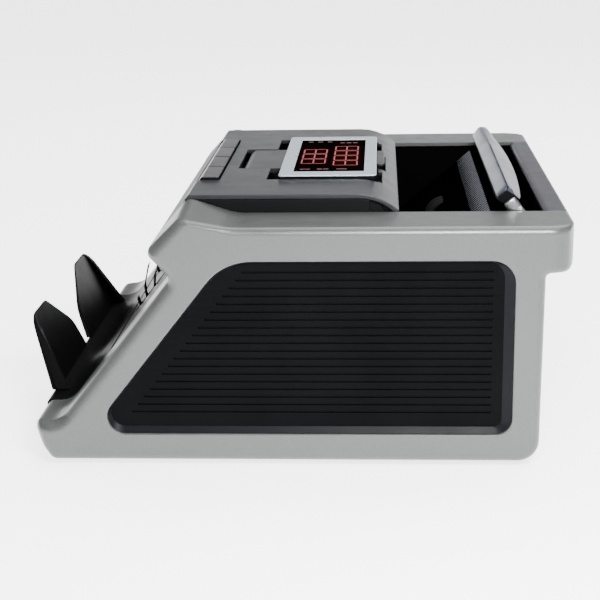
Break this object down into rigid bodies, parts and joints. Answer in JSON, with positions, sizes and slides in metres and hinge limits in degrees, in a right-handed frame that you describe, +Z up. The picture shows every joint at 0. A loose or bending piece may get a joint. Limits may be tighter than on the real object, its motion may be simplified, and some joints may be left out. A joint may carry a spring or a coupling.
{
  "type": "banknote counting machine",
  "caption": "Desktop banknote counter: rear hopper with carrying handle, tilting display, keys, belt-driven rollers, stacking wheels and front stacker between silver side housings.",
  "frame": {"origin": "on the table, under the middle of the machine's box", "axes": "+X to the right of an operator facing the stacker, -Y towards that operator, +Z up"},
  "size_m": [0.28, 0.299, 0.1426],
  "materials": {
    "silver_paint": "metallic satin",
    "black_inset": "fine ribbed, satin",
    "black_plastic": "satin",
    "head_grey": "satin",
    "dark_skirt": "satin",
    "rear_grey": "satin",
    "key_grey": "satin",
    "bezel_silver": "satin",
    "display_glass": "gloss",
    "led_red": "emissive",
    "frame_steel": "satin",
    "steel": "brushed",
    "chrome": "polished",
    "rubber": "matt",
    "board": "satin",
    "guide_steel": "satin",
    "psu_cage": "satin",
    "handle_grey": "satin",
    "rocker_red": "gloss"
  },
  "bodies": {
    "housing": {"side_panel_right": "silver_paint", "side_panel_left": "silver_paint", "side_inset_right": "black_inset", "side_inset_left": "black_inset", "side_frame_right": "frame_steel", "side_frame_left": "frame_steel", "base_pan": "frame_steel", "rubber_feet": "rubber", "housing_screws": "steel", "stacker_tray": "black_plastic", "stacker_prong_right": "black_plastic", "stacker_prong_left": "black_plastic", "stacker_back_plate": "black_plastic", "front_fascia": "black_plastic", "head_cover": "head_grey", "head_frame": "dark_skirt", "key_board": "board", "hopper_floor": "black_plastic", "hopper_front_plate": "black_plastic", "handle_well": "black_plastic", "rear_cover": "rear_grey", "rear_panel": "black_plastic", "inlet_socket": "black_plastic", "switch_frame": "black_plastic", "lower_guide": "guide_steel", "upper_guide": "guide_steel", "retard_rollers": "rubber", "sensor_bars": "black_plastic", "tie_rods": "steel", "bearings": "steel", "motor_body": "steel", "drive_belt": "rubber", "transport_belts": "rubber", "kick_belt": "rubber", "main_board": "board", "power_supply": "psu_cage"},
    "handle": {"handle_grip_front": "handle_grey", "handle_grip_rear": "handle_grey", "handle_end_caps": "black_plastic", "handle_arms": "chrome"},
    "display": {"display_tray": "black_plastic", "display_bezel": "bezel_silver", "display_window": "display_glass", "display_board": "board", "display_arm": "head_grey"},
    "key_1": {"key_1": "key_grey"},
    "key_2": {"key_2": "key_grey"},
    "key_3": {"key_3": "key_grey"},
    "key_4": {"key_4": "key_grey"},
    "power_rocker": {"power_rocker": "rocker_red"},
    "feed_unit": {"feed_shaft": "steel", "feed_rollers": "rubber"},
    "kick_unit": {"kick_shaft": "steel", "kick_rollers": "rubber"},
    "transport_unit": {"transport_shaft": "steel", "transport_rollers": "rubber"},
    "pinch_unit": {"pinch_rollers": "steel"},
    "stacker_unit": {"stacker_shaft": "steel", "stacker_wheels": "black_plastic"},
    "motor_unit": {"motor_shaft": "steel"}
  },
  "joints": [
    {"name": "handle_swing", "type": "hinge", "parent": "housing", "child": "handle", "pos_m": [0, 0.131, 0.118], "axis": [-1, 0, 0], "range_deg": [0, 32]},
    {"name": "display_tilt", "type": "hinge", "parent": "housing", "child": "display", "pos_m": [0, -0.0255, 0.1348], "axis": [1, 0, 0], "range_deg": [0, 50]},
    {"name": "key_1_press", "type": "slide", "parent": "housing", "child": "key_1", "axis": [0, 0, -1], "range_m": [0, 0.0012], "stiffness_N_per_m": 600, "springref_m": -0.002},
    {"name": "key_2_press", "type": "slide", "parent": "housing", "child": "key_2", "axis": [0, 0, -1], "range_m": [0, 0.0012], "stiffness_N_per_m": 600, "springref_m": -0.002},
    {"name": "key_3_press", "type": "slide", "parent": "housing", "child": "key_3", "axis": [0, 0, -1], "range_m": [0, 0.0012], "stiffness_N_per_m": 600, "springref_m": -0.002},
    {"name": "key_4_press", "type": "slide", "parent": "housing", "child": "key_4", "axis": [0, 0, -1], "range_m": [0, 0.0012], "stiffness_N_per_m": 600, "springref_m": -0.002},
    {"name": "rocker_tilt", "type": "hinge", "parent": "housing", "child": "power_rocker", "pos_m": [-0.028, 0.1295, 0.03], "axis": [1, 0, 0], "range_deg": [0, 14]},
    {"name": "feed_spin", "type": "hinge", "parent": "housing", "child": "feed_unit", "pos_m": [0, 0.06786, 0.06269], "axis": [1, 0, 0], "continuous": true},
    {"name": "kick_spin", "type": "hinge", "parent": "housing", "child": "kick_unit", "pos_m": [0, 0.09158, 0.0933], "axis": [1, 0, 0], "continuous": true},
    {"name": "transport_spin", "type": "hinge", "parent": "housing", "child": "transport_unit", "pos_m": [0, 0.014, 0.055], "axis": [1, 0, 0], "continuous": true},
    {"name": "pinch_spin", "type": "hinge", "parent": "housing", "child": "pinch_unit", "pos_m": [0, 0.014, 0.0758], "axis": [1, 0, 0], "continuous": true},
    {"name": "stacker_spin", "type": "hinge", "parent": "housing", "child": "stacker_unit", "pos_m": [0, -0.051, 0.06], "axis": [1, 0, 0], "continuous": true},
    {"name": "motor_spin", "type": "hinge", "parent": "housing", "child": "motor_unit", "pos_m": [0, 0.101, 0.0335], "axis": [1, 0, 0], "continuous": true}
  ],
  "couplings": [
    {"joint": "motor_spin", "follows": "feed_spin", "ratio": 2.3333},
    {"joint": "kick_spin", "follows": "feed_spin", "ratio": 1.3333},
    {"joint": "transport_spin", "follows": "feed_spin", "ratio": 2},
    {"joint": "pinch_spin", "follows": "feed_spin", "ratio": -3},
    {"joint": "stacker_spin", "follows": "feed_spin", "ratio": 0.66667}
  ]
}
